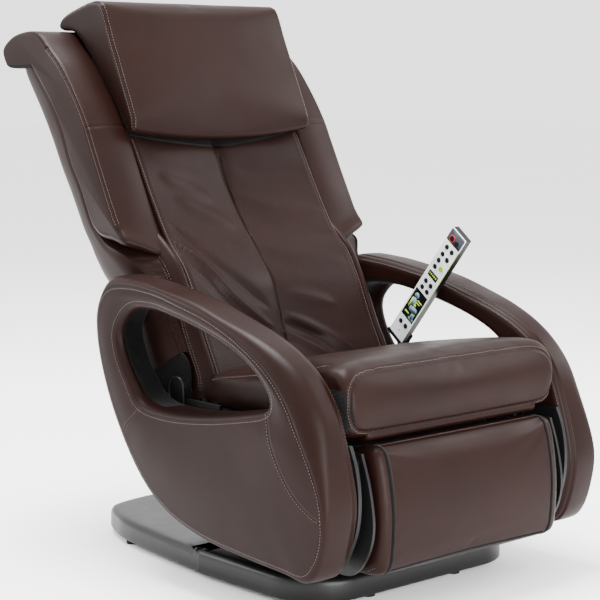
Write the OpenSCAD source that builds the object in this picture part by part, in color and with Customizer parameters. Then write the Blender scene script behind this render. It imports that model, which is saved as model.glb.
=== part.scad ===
// Massage recliner: swivel base, seat with two looped arms, reclining backrest with a roller
// carriage, head pillow, leg rest with an extending and turning ottoman, and a hand remote.
// +Z is up, the sitter faces -Y, and the origin is on the floor under the middle of the chair.
// Side-view outlines are lists of [y, z] points in millimetres.

/* [Width] */
// Half width across the outer faces of the arms
arm_outer = 378; // [370:1:390]
// Half width between the inner faces of the arms
arm_inner = 292; // [290:1:296]
// Half width of the backrest over its side wings
wing_outer = 330; // [320:1:335]
// Half width of the middle panel of the backrest
panel_half = 235; // [225:1:238]
// Half width of the seat cushion beside the arm openings
seat_half = 262; // [250:1:262]
// Half width of the front roll of the seat
roll_half = 286; // [270:1:287]
// Half width of the head pillow
pillow_half = 244; // [200:1:260]
// Half width of the ottoman
ottoman_half = 248; // [220:1:249]

/* [Swivel base] */
// Half width of the front part of the base
base_half = 298; // [280:1:310]
// Thickness of the base cover
base_cover_t = 48; // [40:1:50]
// Height of the glide feet
foot_h = 12; // [8:1:14]
// Radius of the lower swivel ring
ring_r = 90; // [70:1:100]
// Radius of the swivel spigot
spigot_r = 50; // [40:1:60]

/* [Pivots] */
// Radius of the recline pins and of the leg rest pins
pin_r = 8; // [6:0.5:9]
// Radius of the pins that the ottoman turns on
flip_r = 10; // [8:0.5:11]
// Radial running clearance of every pin
run_gap = 0.05; // [0.03:0.01:0.08]
// Wall of the folded steel side plates
plate_t = 6; // [4:0.5:6]
// Radius of the cross tubes
tube_r = 12; // [10:0.5:12]

/* [Remote] */
// Length of the hand remote
remote_l = 304; // [290:1:310]
// Width of the hand remote
remote_w = 47; // [46:0.5:48]
// Thickness of the hand remote
remote_t = 18; // [17:0.5:18]
// Forward lean of the remote in its holder, in degrees
remote_lean = 38.6; // [30:0.2:42]

/* [Hidden] */
$fn = 48;
KEYS = [
    // name, distance from the lower end, distance across, radius, colour
    ["power", 283, 14.5, 6, "dimgray"],
    ["pause", 283, 32.5, 5, "dimgray"],
    ["program_1", 259, 14.5, 4.5, "black"],
    ["program_2", 239, 14.5, 4.5, "black"],
    ["program_3", 221, 14.5, 4.5, "black"],
    ["program_4", 203, 14.5, 4.5, "black"],
    ["program_5", 259, 32.5, 4.5, "black"],
    ["program_6", 237, 32.5, 4.5, "black"],
    ["start", 210, 32, 5.5, "yellowgreen"],
    ["up", 161, 14.5, 4.5, "black"],
    ["down", 143, 14.5, 4.5, "black"],
    ["left", 161, 32.5, 4.5, "black"],
    ["right", 143, 32.5, 4.5, "black"],
    ["recline", 40, 14.5, 4.5, "dimgray"],
    ["upright", 40, 32.5, 4.5, "dimgray"],
];

base_top = foot_h + base_cover_t;
swivel_y = -20;                 // the swivel axis is vertical at this y
base_seam_y = -66;              // joint between the two base covers
plate_z = foot_h;               // underside of the steel base plate
plate_h = 8;                    // its thickness
ring_top = 70;                  // running face of the swivel
tray_z = 88;                    // underside of the chassis
tray_top = 100;
side_out = 284;                 // outer face of the seat frame's side plates
back_plate_out = 276;           // outer face of the back frame's side plates
seat_under = 345;               // underside of the seat cushion
recline_at = [0, 380];          // pivot of the backrest
raise_at = [-410, 318];         // pivot of the leg rest
flip_at = [-492, 208];          // pivot of the ottoman
back_crank = [30, 300];         // tube of the back frame that the drive moves
leg_crank = [-340, 288];        // tube of the leg rest that the drive moves
guide_y = -466;                 // line of the leg rest's sliding pins
guide_z = [165, 185];           // heights of those pins
extend_l = 120;                 // travel of the ottoman away from the seat
back_origin = [22, 529];        // where the roller track starts on the face of the back
back_lean = 32;                 // slope of the roller track from the vertical, in degrees
rail_x = 100;
rail_depth = 122;               // depth of the guide rails behind the face of the back
rail_r = 8;
roller_s = 180;                 // height of the rollers up the track at rest
remote_at = [-46, 453];         // lower rear corner of the remote
remote_x = 268;                 // face of the remote
drive_x = 35;                   // half spacing of the two drive rods
back_rod_z = 298;
leg_rod_z = 262;
rod_r = 8;

// --- helpers ---------------------------------------------------------------------------
function pick(p, i) = p[(i + len(p)) % len(p)];
function knot(a, b, c, d, t) =
    0.5 * (2 * b + (c - a) * t + (2 * a - 5 * b + 4 * c - d) * t * t
    + (3 * b - a - 3 * c + d) * t * t * t);
// closed smooth curve through the points p, with n steps between neighbours
function smooth(p, n = 4) =
    [for (i = [0:len(p) - 1], j = [0:n - 1])
        knot(pick(p, i - 1), pick(p, i), pick(p, i + 1), pick(p, i + 2), j / n)];
// open smooth curve through the points p
function smooth_open(p, n = 4) = concat(
    [for (i = [0:len(p) - 2], j = [0:n - 1])
        knot(p[max(i - 1, 0)], p[i], p[i + 1], p[min(i + 2, len(p) - 1)], j / n)],
    [p[len(p) - 1]]);
function polar(r, a) = [r * cos(a), r * sin(a)];

// side-view outline made into a slab from x0 to x1
module across(x0, x1) {
    translate([x0, 0, 0]) rotate([90, 0, 90]) linear_extrude(x1 - x0) children();
}
// the same slab on both sides of the chair
module sides(x0, x1) {
    across(x0, x1) children();
    across(-x1, -x0) children();
}
module mirrored() {
    children();
    mirror([1, 0, 0]) children();
}
// round bar along x at the side-view point p
module bar(p, r, x0, x1) {
    translate([x0, p[0], p[1]]) rotate([0, 90, 0]) cylinder(r = r, h = x1 - x0);
}
module disc(p, r) {
    translate(p) circle(r = r);
}
// flat link with round ends
module link(a, b, ra, rb) {
    d = norm(b - a);
    dir = atan2(b[1] - a[1], b[0] - a[0]);
    open = acos((ra - rb) / d);
    disc(a, ra);
    disc(b, rb);
    polygon([a + polar(ra, dir + open), b + polar(rb, dir + open),
        b + polar(rb, dir - open), a + polar(ra, dir - open)]);
}
// local frame on the back: y is the depth behind its face, z runs up the roller track
module on_back() {
    translate([0, back_origin[0], back_origin[1]]) rotate([-back_lean, 0, 0]) children();
}
// local frame of the remote: z runs from its lower end, -y across it
// side-view point of the remote's local frame
function remote_point(y, z) = remote_at + polar(y, remote_lean) + polar(z, remote_lean + 90);
module on_remote() {
    translate([0, remote_at[0], remote_at[1]]) rotate([remote_lean, 0, 0]) children();
}

// --- swivel base -----------------------------------------------------------------------
base_corner = 120;
module base_front_outline(inset = 0) {
    half = base_half - inset;
    front = -420 + inset;
    r = base_corner - inset;
    translate([-half, front + r]) square([2 * half, base_seam_y - front - r]);
    translate([-half + r, front]) square([2 * (half - r), r]);
    for (side = [-1, 1]) translate([side * (half - r), front + r]) circle(r = r);
}
module base_rear_outline(inset = 0) {
    half = base_half - 4 - inset;
    tail = 395 - inset;
    outline = [[half, base_seam_y], [half - 20, 79], [half - 40, 216], [half - 62, 290],
        [half - 100, tail - 32], [half - 150, tail - 10], [half - 215, tail]];
    polygon(concat(outline, [for (i = [len(outline) - 1:-1:0]) [-outline[i][0], outline[i][1]]]));
}
module base_cover(z1) {
    bevel = 8;
    difference() {
        hull() {
            translate([0, 0, foot_h]) linear_extrude(z1 - foot_h - bevel) children(0);
            translate([0, 0, foot_h]) linear_extrude(z1 - foot_h) children(1);
        }
        translate([0, 0, foot_h - 1]) linear_extrude(plate_h + 1) base_plate_outline();
        translate([0, swivel_y, 0]) cylinder(r = ring_r + 2, h = 2 * base_top);
    }
}
module base_plate_outline() {
    base_front_outline(16);
    base_rear_outline(16);
}
module base_plate() {
    color("dimgray") translate([0, 0, plate_z]) linear_extrude(plate_h) base_plate_outline();
}
module base_front_cover() {
    color([0.13, 0.13, 0.14]) base_cover(base_top) {
        base_front_outline();
        base_front_outline(7);
    }
}
module base_rear_cover() {
    color([0.13, 0.13, 0.14]) base_cover(base_top - 4) {
        base_rear_outline();
        base_rear_outline(7);
    }
}
module glide_feet() {
    color([0.08, 0.08, 0.08]) {
        mirrored() for (p = [[250, -270], [120, -385], [232, 235]])
            translate([p[0], p[1], 0]) cylinder(r = 14, h = foot_h);
        translate([0, 360, 0]) cylinder(r = 14, h = foot_h);
    }
}
module swivel_ring_lower() {
    color("silver") translate([0, swivel_y, plate_z + plate_h]) difference() {
        cylinder(r = ring_r, h = ring_top - plate_z - plate_h);
        translate([0, 0, -1]) cylinder(r = spigot_r + run_gap, h = ring_top);
    }
}
module swivel_ring_upper() {
    gap = 0.3;
    color("silver") translate([0, swivel_y, 0]) {
        translate([0, 0, ring_top + gap]) cylinder(r = ring_r + 20, h = tray_z - ring_top - gap);
        translate([0, 0, ring_top - 30]) cylinder(r = spigot_r, h = 31);
    }
}

// --- seat and chassis ------------------------------------------------------------------
module chassis_tray() {
    half = side_out + 3;
    tail = 235;
    color([0.1, 0.1, 0.1]) translate([0, 0, tray_z]) linear_extrude(tray_top - tray_z)
        polygon([[-half, -400], [half, -400], [half, -95], [tail, 50], [-tail, 50], [-half, -95]]);
}
module seat_plate_outline() {
    difference() {
        union() {
            polygon([[-380, tray_top], [-100, tray_top], [26, 152], [26, 380], [-22, 380], [-22, 360],
                [-130, 360], [-130, 332], [-400, 332], [-428, 310], [-428, 240]]);
            disc([2, 380], 24);
            disc(raise_at, 18);
        }
        disc(recline_at, pin_r + run_gap);
        disc(raise_at, pin_r + run_gap);
    }
}
module seat_frame() {
    color("dimgray") {
        sides(side_out - plate_t, side_out) seat_plate_outline();
        for (p = [[-262, 224], [-88, 224], [0, 168], [-370, 117]])
            bar(p, tube_r, plate_t - side_out, side_out - plate_t);
    }
}
module seat_pan() {
    half = side_out - plate_t - 2;
    color("burlywood") translate([-half, -385, seat_under - 13]) cube([2 * half, 310, 13]);
}
seat_rear = -64;
seat_outline = [[seat_rear, seat_under], [seat_rear - 2, 412], [-210, 444], [-400, 470],
    [-466, 479], [-492, 468], [-508, 440], [-515, 405], [-508, 368], [-488, seat_under + 3]];
roll_outline = [[-430, seat_under + 3], [-430, 472], [-466, 479], [-492, 468], [-508, 440],
    [-515, 405], [-508, 368], [-488, seat_under + 3]];
module seat_cushion() {
    color([0.29, 0.21, 0.19]) {
        across(-seat_half, seat_half) polygon(concat(seat_outline, [[-470, seat_under]]));
        across(-roll_half, roll_half) polygon(roll_outline);
    }
}
arm_outline = [[100, 598], [132, 562], [150, 510], [138, 430], [93, 328], [16, 222],
    [-71, 158], [-186, 122], [-310, 108], [-426, 100], [-484, 94], [-516, 122], [-536, 180],
    [-542, 240], [-526, 310], [-495, 398], [-452, 456], [-399, 495], [-330, 525],
    [-247, 550], [-163, 573], [-63, 590], [20, 599]];
arm_hole = [[1, 359], [-90, 352], [-198, 362], [-305, 381], [-374, 398], [-383, 418],
    [-357, 449], [-315, 478], [-253, 503], [-172, 525], [-89, 541], [-31, 548],
    [28, 543], [66, 515], [79, 482], [64, 438], [37, 398]];
module arm(x0) {
    color([0.29, 0.21, 0.19]) across(x0, x0 + arm_outer - arm_inner) difference() {
        polygon(smooth(arm_outline));
        polygon(smooth(arm_hole, 3));
    }
}
module arm_left() {
    arm(-arm_outer);
}
module arm_right() {
    arm(arm_inner);
}
liner_outline = [[92, 340], [56, 280], [8, 228], [-70, 170], [-186, 134], [-310, 120],
    [-426, 112], [-490, 112], [-518, 150], [-534, 196], [-537, 250], [-528, 302], [-512, 340]];
module arm_liners() {
    color([0.09, 0.09, 0.1]) sides(side_out, arm_inner) polygon(smooth_open(liner_outline));
}
module liner_screws() {
    color("dimgray") for (p = [[-506, 288], [-516, 196]])
        mirrored() bar(p, 5, side_out - 2.5, side_out);
}
module hinge_covers() {
    color([0.1, 0.1, 0.1]) mirrored() difference() {
        across(side_out, side_out + 6) {
            disc([2, 380], 24);
            translate([-22, 342]) square([48, 38]);
        }
        bar(recline_at, pin_r + 2, side_out - 1, side_out + 3);
    }
}
module control_box() {
    color([0.15, 0.15, 0.16]) translate([90, -240, tray_top]) cube([140, 180, 85]);
}
module rear_cover() {
    half = side_out - 8;
    tail = 225;
    color([0.1, 0.1, 0.1]) translate([0, 49, 0]) rotate([90, 0, 0]) linear_extrude(5)
        polygon([[-tail, tray_top], [tail, tray_top], [half, 150], [half, 268], [-half, 268], [-half, 150]]);
}
module power_inlet() {
    color("black") translate([190, 49, 130]) difference() {
        cube([50, 8, 32]);
        translate([10, 3, 6]) cube([30, 6, 20]);
    }
}
module remote_holder() {
    wall = 2.5;
    play = 0.5;
    depth = 24;
    lip = 4;
    color([0.1, 0.1, 0.1]) {
        on_remote() difference() {
            translate([remote_x - play - wall, -remote_w - play - wall, -play - wall])
                cube([remote_t + 2 * (play + wall), remote_w + 2 * (play + wall), depth + play + wall]);
            translate([remote_x - play, -remote_w - play, -play])
                cube([remote_t + 2 * play, remote_w + 2 * play, depth + 20]);
            translate([remote_x - 10, -remote_w - 10, lip])
                cube([remote_t + play + 10, remote_w + 20, depth + 20]);
        }
        across(side_out, side_out + 3.7) polygon([[-105, 341], [-62, 341],
            remote_point(-10, -1.5), remote_point(-40, -1.5)]);
    }
}

// --- drive -----------------------------------------------------------------------------
drive_front = -290;
drive_rear = -60;
module dual_drive() {
    color([0.16, 0.16, 0.17]) difference() {
        translate([-70, drive_front, 236]) cube([140, drive_rear - drive_front, 86]);
        translate([-drive_x, drive_rear + 1, back_rod_z]) rotate([90, 0, 0])
            cylinder(r = rod_r + run_gap, h = 151);
        translate([drive_x, drive_front - 1, leg_rod_z]) rotate([-90, 0, 0])
            cylinder(r = rod_r + run_gap, h = 121);
    }
}
module drive_motors() {
    color("gray") {
        translate([drive_x, -205, 150]) cylinder(r = 28, h = 86);
        translate([-drive_x, -145, 150]) cylinder(r = 28, h = 86);
    }
}
// slotted yoke around a crank tube; the slot leaves room for the tube's arc
module yoke(x, y, z0, z1, half) {
    wall = 6;
    translate([x - 7, 0, 0]) across(0, 14) difference() {
        translate([y - half - wall, z0 - wall]) square([2 * (half + wall), z1 - z0 + 2 * wall]);
        translate([y - half, z0]) square([2 * half, z1 - z0]);
    }
}
module back_drive_rod() {
    half = tube_r + 2;
    color("silver") {
        yoke(-drive_x, back_crank[0], 280, 315, half);
        translate([-drive_x, back_crank[0] - half - 3, back_rod_z]) rotate([90, 0, 0])
            cylinder(r = rod_r, h = 145);
    }
}
module leg_drive_rod() {
    half = tube_r + 6;
    y = leg_crank[0] + 3;
    color("silver") {
        yoke(drive_x, y, 226, 303, half);
        translate([drive_x, y + half + 3, leg_rod_z]) rotate([-90, 0, 0])
            cylinder(r = rod_r, h = 130);
    }
}

// --- backrest --------------------------------------------------------------------------
// from the seat up the face of the pad, over the rolled top and back down behind it
head_roll = [[380, 1068], [414, 1098], [451, 1103], [505, 1096], [540, 1080], [555, 1062],
    [546, 1036], [526, 1024], [450, 1024]];
pad_outline = concat([[-50, 350], [-46, 382], [-20, 430], [0, 462], [20, 529], [40, 577],
    [79, 626], [139, 695], [186, 766], [220, 846], [290, 950]], head_roll,
    [[400, 1000], [319, 909], [262, 819], [130, 608], [64, 502], [40, 430], [4, 350]]);
wing_front = [[101, 658], [139, 722], [177, 793], [211, 852], [240, 908], [278, 964], [329, 1025]];
wing_rear = [[440, 1027], [421, 1006], [365, 946], [329, 892], [300, 828], [265, 774],
    [231, 709], [209, 684], [175, 661], [126, 648], [100, 644]];
wing_outline = concat(wing_front, head_roll, wing_rear);
lower_wing = [[-50, 350], [-47, 400], [-25, 450], [5, 530], [25, 577], [60, 630], [101, 668],
    [140, 660], [110, 600], [75, 540], [55, 480], [30, 430], [4, 350]];
wing_gap = 0.3;
lower_half = 268;
module back_pad() {
    color([0.29, 0.21, 0.19]) across(-panel_half, panel_half) polygon(pad_outline);
}
module back_wing() {
    across(panel_half + wing_gap, wing_outer) polygon(wing_outline);
    across(panel_half + wing_gap, lower_half) polygon(lower_wing);
}
module back_wing_left() {
    color([0.25, 0.18, 0.16]) mirror([1, 0, 0]) back_wing();
}
module back_wing_right() {
    color([0.25, 0.18, 0.16]) back_wing();
}
shell_half = 300;
shell_low_half = 262;
shell_wall = 5;
shell_face = [[452, 1019], [426, 999], [372, 942], [336, 888], [306, 824], [271, 769],
    [237, 703], [214, 675], [180, 652]];
module shell_side_outline() {
    polygon(concat(shell_face, [[178, 612], [212, 566], [232, 566], [520, 1008], [508, 1019]]));
}
module shell_mid_outline() {
    polygon(concat(shell_face, [[146, 640], [122, 590], [92, 520], [76, 460], [62, 400], [62, 372],
        [140, 372], [159, 419], [180, 459], [190, 505], [225, 537], [268, 562], [556, 1003],
        [548, 1019]]));
}
module back_shell() {
    color([0.27, 0.19, 0.17]) difference() {
        union() {
            across(-shell_half, shell_half) shell_side_outline();
            across(-shell_low_half, shell_low_half) shell_mid_outline();
        }
        across(shell_wall - shell_half, shell_half - shell_wall) polygon([[508, 1003], [231, 574],
            [214, 574], [182, 614], [130, 640], [190, 720], [300, 900], [395, 1010], [506, 1013]]);
        across(shell_wall - shell_low_half, shell_low_half - shell_wall) polygon([[549, 1002],
            [264, 567], [221, 542], [185, 508], [175, 461], [154, 422], [136, 378], [20, 378],
            [20, 500], [100, 620], [190, 720], [300, 900], [395, 1012], [544, 1012]]);
        bar(frame_low, frame_r + 0.5, -shell_half, shell_half);
    }
}
frame_r = 13;
frame_x = 218;
frame_depth = 85;
frame_len = 560;
frame_low = back_origin + polar(frame_depth, -back_lean);
module back_frame() {
    inner = back_plate_out - plate_t;
    color("dimgray") {
        sides(inner, back_plate_out) difference() {
            union() {
                link(recline_at, frame_low, 24, 28);
                link(recline_at, back_crank, 24, 18);
            }
            disc(recline_at, pin_r);
        }
        bar(back_crank, tube_r, -inner, inner);
        bar(frame_low, frame_r, -inner, inner);
        on_back() {
            mirrored() translate([frame_x, frame_depth, 0]) cylinder(r = frame_r, h = frame_len);
            translate([-frame_x, frame_depth, frame_len]) rotate([0, 90, 0])
                cylinder(r = frame_r, h = 2 * frame_x);
            for (s = [-12, frame_len - 12]) mirrored() difference() {
                translate([rail_x - 16, frame_depth, s]) cube([32, rail_depth - frame_depth + 18, 24]);
                translate([rail_x, rail_depth, s - 1]) cylinder(r = rail_r, h = 26);
            }
        }
    }
}
module guide_rails() {
    color("silver") on_back() mirrored()
        translate([rail_x, rail_depth, -12]) cylinder(r = rail_r, h = frame_len + 24);
}
module recline_pins() {
    color("silver") mirrored() bar(recline_at, pin_r, back_plate_out - plate_t, side_out + 2);
}
module hinge_gussets() {
    color([0.07, 0.07, 0.07]) sides(back_plate_out, back_plate_out + 1.6) difference() {
        polygon([[112, 385], [106, 396], [71, 418], [36, 436], [2, 449], [-18, 432], [-26, 396],
            [-16, 356], [24, 344], [84, 352]]);
        disc(recline_at, pin_r + 0.5);
    }
}
module pillow() {
    color([0.31, 0.23, 0.21]) across(-pillow_half, pillow_half) polygon([[222, 890], [204, 886],
        [194, 902], [196, 920], [208, 949], [241, 1019], [275, 1093], [300, 1148], [312, 1162],
        [345, 1165], [398, 1154], [452, 1137], [470, 1120], [460, 1108], [402, 1108],
        [378, 1090], [316, 1022], [258, 950]]);
}
carriage_z = [130, 230];
module massage_carriage() {
    half = rail_x + 25;
    front = 104;
    lug = [72, 84];
    color([0.2, 0.2, 0.22]) on_back() difference() {
        union() {
            translate([-half, front, carriage_z[0]])
                cube([2 * half, 36, carriage_z[1] - carriage_z[0]]);
            mirrored() translate([lug[0], 66, roller_s - 14]) cube([lug[1] - lug[0], 39, 28]);
        }
        mirrored() translate([rail_x, rail_depth, 0])
            cylinder(r = rail_r + run_gap, h = frame_len);
        translate([-half, 76, roller_s]) rotate([0, 90, 0])
            cylinder(r = 6 + run_gap, h = 2 * half);
    }
}
module carriage_motor() {
    color("gray") on_back() translate([-60, 160, roller_s]) rotate([0, 90, 0])
        cylinder(r = 20, h = 120);
}
module massage_rollers() {
    color("gainsboro") on_back() translate([0, 76, roller_s]) rotate([0, 90, 0]) {
        translate([0, 0, -118]) cylinder(r = 6, h = 236);
        for (x = [-114, -64, 40, 90]) translate([0, 0, x]) cylinder(r = 23, h = 24);
    }
}

// --- leg rest --------------------------------------------------------------------------
legrest_x = [252, 258];
leg_plate_x = [260, 266];
module legrest_frame() {
    color("dimgray") {
        sides(legrest_x[0], legrest_x[1]) difference() {
            union() {
                link(raise_at, [guide_y, guide_z[0]], 15, 10);
                link(raise_at, leg_crank, 18, 18);
            }
            disc(raise_at, pin_r);
            for (z = guide_z) disc([guide_y, z], 5.8);
        }
        bar(leg_crank, tube_r, -legrest_x[0], legrest_x[0]);
    }
}
module legrest_pins() {
    color("silver") mirrored() {
        bar(raise_at, pin_r, legrest_x[0], side_out);
        for (z = guide_z) bar([guide_y, z], 5.8, legrest_x[0], leg_plate_x[1] + 2);
    }
}
module leg_plate_outline() {
    difference() {
        polygon(concat([[-446, 86]], smooth_open([[-470, 86], [-494, 90], [-519, 111], [-538, 142],
            [-548, 180], [-546, 220], [-534, 273], [-516, 322]]), [[-446, 322]]));
        translate([guide_y - 6, guide_z[0] - 1]) square([12, guide_z[1] - guide_z[0] + extend_l + 2]);
        disc([guide_y, guide_z[0] - 1], 6);
        disc([guide_y, guide_z[1] + extend_l + 1], 6);
        translate([-512, 268]) square([7, 42]);
        disc(flip_at, flip_r + run_gap);
    }
}
module leg_plate_left() {
    color([0.1, 0.1, 0.1]) across(-leg_plate_x[1], -leg_plate_x[0]) leg_plate_outline();
}
module leg_plate_right() {
    color([0.1, 0.1, 0.1]) across(leg_plate_x[0], leg_plate_x[1]) leg_plate_outline();
}
core_half = 200;
module ottoman_core() {
    color("burlywood") translate([-core_half, flip_at[0] - 16, flip_at[1] - 98])
        cube([2 * core_half, 24, 196]);
}
well_x = 92;
module ottoman_pad() {
    outline = [[-536, 322], [-551, 280], [-558, 215], [-559, 160], [-554, 112], [-538, 92],
        [-500, 85], [-460, 88], [-440, 110], [-431, 160], [-429, 208], [-431, 256], [-440, 300],
        [-470, 324], [-505, 330]];
    color([0.29, 0.21, 0.19]) difference() {
        across(-ottoman_half, ottoman_half) polygon(smooth(outline, 3));
        ottoman_core();
        mirrored() translate([well_x, -425, 0]) cylinder(r = 48, h = 400);
        bar(flip_at, flip_r, core_half, ottoman_half + 1);
        bar(flip_at, flip_r, -ottoman_half - 1, -core_half);
    }
}
module ottoman_pins() {
    color("silver") mirrored() bar(flip_at, flip_r, core_half, leg_plate_x[1] + 2);
}

// --- remote ----------------------------------------------------------------------------
face_t = 2.5;
screen_z = [56, 132];
module key_holes(extra, x0, x1) {
    for (key = KEYS) bar([-key[2], key[1]], key[3] + extra, x0, x1);
}
module remote_shell() {
    color([0.1, 0.1, 0.1]) on_remote() difference() {
        translate([remote_x + face_t, -remote_w, 0]) cube([remote_t - face_t, remote_w, remote_l]);
        key_holes(0.8, remote_x, remote_x + face_t + 4);
    }
}
module remote_face() {
    color("whitesmoke") on_remote() difference() {
        translate([remote_x, -remote_w, 0]) cube([face_t, remote_w, remote_l]);
        key_holes(0.3, remote_x - 1, remote_x + face_t + 1);
        translate([remote_x - 1, -remote_w + 3, screen_z[0]])
            cube([face_t, remote_w - 6, screen_z[1] - screen_z[0]]);
    }
}
module remote_screen() {
    color("darkslategray") on_remote() translate([remote_x, -remote_w + 3, screen_z[0]])
        cube([face_t - 1, remote_w - 6, screen_z[1] - screen_z[0]]);
}
module remote_key(key) {
    color(key[4]) on_remote() bar([-key[2], key[1]], key[3], remote_x - 1.4, remote_x + face_t + 2.4);
}

base_plate();
base_front_cover();
base_rear_cover();
glide_feet();
swivel_ring_lower();
swivel_ring_upper();
chassis_tray();
seat_frame();
seat_pan();
seat_cushion();
arm_left();
arm_right();
arm_liners();
liner_screws();
hinge_covers();
control_box();
rear_cover();
power_inlet();
remote_holder();
dual_drive();
drive_motors();
back_frame();
back_shell();
back_wing_left();
back_wing_right();
back_pad();
guide_rails();
recline_pins();
hinge_gussets();
pillow();
massage_carriage();
carriage_motor();
massage_rollers();
legrest_frame();
legrest_pins();
leg_plate_left();
leg_plate_right();
ottoman_core();
ottoman_pad();
ottoman_pins();
back_drive_rod();
leg_drive_rod();
remote_shell();
remote_face();
remote_screen();
for (key = KEYS)
    remote_key(key);
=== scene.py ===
"""The looks of a massage recliner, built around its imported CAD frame.

Outlines are side views in millimetres, as (y, z); meshes are in metres in the row frame.
"""

import math

import bmesh
import bpy
import numpy as np
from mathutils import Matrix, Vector
from mathutils.bvhtree import BVHTree
from mathutils.kdtree import KDTree


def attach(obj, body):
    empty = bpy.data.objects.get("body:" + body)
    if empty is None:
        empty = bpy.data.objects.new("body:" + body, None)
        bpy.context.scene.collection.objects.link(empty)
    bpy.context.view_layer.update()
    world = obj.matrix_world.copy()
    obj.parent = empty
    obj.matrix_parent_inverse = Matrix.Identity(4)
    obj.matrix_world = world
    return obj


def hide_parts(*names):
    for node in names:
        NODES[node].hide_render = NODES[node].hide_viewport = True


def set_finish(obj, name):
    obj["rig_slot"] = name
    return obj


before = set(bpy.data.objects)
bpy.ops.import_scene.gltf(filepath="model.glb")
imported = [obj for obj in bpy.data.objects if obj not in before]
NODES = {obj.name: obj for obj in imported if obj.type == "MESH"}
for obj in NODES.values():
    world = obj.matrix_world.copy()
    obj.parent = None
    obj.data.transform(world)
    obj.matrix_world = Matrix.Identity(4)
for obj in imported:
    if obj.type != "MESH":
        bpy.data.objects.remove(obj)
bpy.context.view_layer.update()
scene = bpy.context.scene
MM = 0.001
VOXEL = 5.0
CLOTH_FRAMES = 20

# ------------------------------------------------------------------------------ curves


def curve(points, count, closed=False):
    """Smooth curve through the points, as count points evenly along it."""
    p = np.array(points, float)
    if closed:
        p = np.vstack([p[-1:], p, p[:2]])
    else:
        p = np.vstack([2 * p[0] - p[1], p, 2 * p[-1] - p[-2]])
    t = np.linspace(0, 1, 16, endpoint=False)[:, None]
    rows = [
        0.5 * (2 * b + (c - a) * t + (2 * a - 5 * b + 4 * c - d) * t**2 + (3 * b - a - 3 * c + d) * t**3)
        for a, b, c, d in zip(p, p[1:], p[2:], p[3:])
    ]
    fine = np.vstack(rows + [p[-2:-1]])
    along = np.r_[0, np.cumsum(np.linalg.norm(np.diff(fine, axis=0), axis=1))]
    at = np.linspace(0, along[-1], count + (1 if closed else 0))[:count]
    return np.stack([np.interp(at, along, fine[:, k]) for k in range(p.shape[1])], 1)


def by_length(points, step, closed=False):
    """The same smooth curve with a point about every step."""
    rough = curve(points, 200, closed)
    size = np.linalg.norm(np.diff(rough, axis=0), axis=1).sum()
    return curve(points, max(4, int(size / step)), closed)


def outward(outline):
    """Unit normals of a closed outline, pointing out of it."""
    t = np.roll(outline, -1, 0) - np.roll(outline, 1, 0)
    t /= np.linalg.norm(t, axis=1)[:, None] + 1e-12
    a, b = outline, np.roll(outline, -1, 0)
    turn = np.sign(np.sum(a[:, 0] * b[:, 1] - b[:, 0] * a[:, 1]))
    return np.stack([t[:, 1], -t[:, 0]], 1) * turn


def smoothstep(a, b, x):
    t = np.clip((x - a) / (b - a), 0, 1)
    return t * t * (3 - 2 * t)


def bump(x, centre, width):
    return np.exp(-(((x - centre) / width) ** 2))


# ------------------------------------------------------------------------------ meshes


def quads(nu, nv, wrap_u=False, wrap_v=False):
    a, b = np.meshgrid(np.arange(nu if wrap_u else nu - 1), np.arange(nv if wrap_v else nv - 1), indexing="ij")
    a1, b1 = (a + 1) % nu, (b + 1) % nv
    return np.stack([a * nv + b, a1 * nv + b, a1 * nv + b1, a * nv + b1], -1).reshape(-1, 4).tolist()


def piece(name, verts, faces, outside=True):
    """A new mesh object from points in millimetres."""
    mesh = bpy.data.meshes.new(name)
    mesh.from_pydata((np.asarray(verts, float).reshape(-1, 3) * MM).tolist(), [], faces)
    if outside:
        b = bmesh.new()
        b.from_mesh(mesh)
        bmesh.ops.remove_doubles(b, verts=b.verts, dist=1e-5)
        bmesh.ops.recalc_face_normals(b, faces=b.faces)
        b.to_mesh(mesh)
        b.free()
    mesh.shade_smooth()
    obj = bpy.data.objects.new(name, mesh)
    scene.collection.objects.link(obj)
    return obj


def read(items, what):
    """One three-part attribute of every vertex or face, a row each."""
    values = np.empty(len(items) * 3, np.float32)
    items.foreach_get(what, values)
    return values.reshape(-1, 3).astype(float)


def coords(obj):
    return read(obj.data.vertices, "co") / MM


def normals(obj):
    return read(obj.data.vertex_normals, "vector")


def place(obj, co):
    obj.data.vertices.foreach_set("co", (co * MM).ravel())
    obj.data.update()


def push(obj, amount):
    """Moves the surface along its normals by amount(points, normals) millimetres."""
    co, no = coords(obj), normals(obj)
    place(obj, co + no * np.asarray(amount(co, no))[:, None])


def bake(obj):
    """Applies the modifiers."""
    dg = bpy.context.evaluated_depsgraph_get()
    mesh = bpy.data.meshes.new_from_object(obj.evaluated_get(dg))
    obj.modifiers.clear()
    old, obj.data = obj.data, mesh
    bpy.data.meshes.remove(old)
    mesh.shade_smooth()
    return obj


def modified(obj, kind, **values):
    m = obj.modifiers.new(kind.title(), kind)
    for k, v in values.items():
        setattr(m, k, v)
    return m


def relax(obj, times):
    modified(obj, "SMOOTH", iterations=times, factor=0.5)
    return bake(obj)


def rounded(x0, x1, r0, r1, step):
    """(x, inset) stations of a slab from x0 to x1 whose edges are rounded by r0 and r1."""
    turns = np.linspace(0, math.pi / 2, 7)
    start = [(x0 + r0 * (1 - math.cos(t)), r0 * (1 - math.sin(t))) for t in turns] if r0 else [(x0, 0)]
    end = [(x1 - r1 * (1 - math.cos(t)), r1 * (1 - math.sin(t))) for t in turns[::-1]] if r1 else [(x1, 0)]
    count = max(1, int((end[0][0] - start[-1][0]) / step))
    middle = np.linspace(start[-1][0], end[0][0], count + 1)[1:-1]
    return start + [(x, 0) for x in middle] + end


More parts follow.
